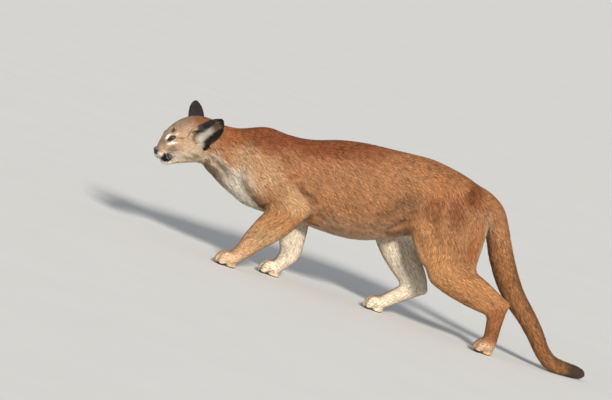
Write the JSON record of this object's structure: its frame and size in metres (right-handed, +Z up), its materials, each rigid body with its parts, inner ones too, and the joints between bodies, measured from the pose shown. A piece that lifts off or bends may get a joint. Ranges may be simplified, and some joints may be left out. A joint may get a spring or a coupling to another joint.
{
  "type": "cougar figure",
  "caption": "Life-size cougar walking low in mid stride, its head turned aside and its tail trailing on the ground.",
  "frame": {"origin": "middle of the box's underside, on the ground", "axes": "the cougar faces -X, its left side is -Y, +Z is up"},
  "size_m": [1.6566, 0.2852, 0.5645],
  "materials": {
    "coat": "short tawny fur",
    "ear": "short black fur",
    "tail_tip": "dark brown fur",
    "nose": "bare moist skin",
    "eye": "polished amber"
  },
  "bodies": {
    "root": {"head": "coat", "neck": "coat", "torso": "coat", "foreleg_left": "coat", "foreleg_right": "coat", "hindleg_left": "coat", "hindleg_right": "coat", "tail_upper": "coat", "tail_middle": "coat", "tail_tip": "tail_tip", "ear_left": "ear", "ear_right": "ear", "nose": "nose", "eye_left": "eye", "eye_right": "eye"}
  },
  "joints": []
}
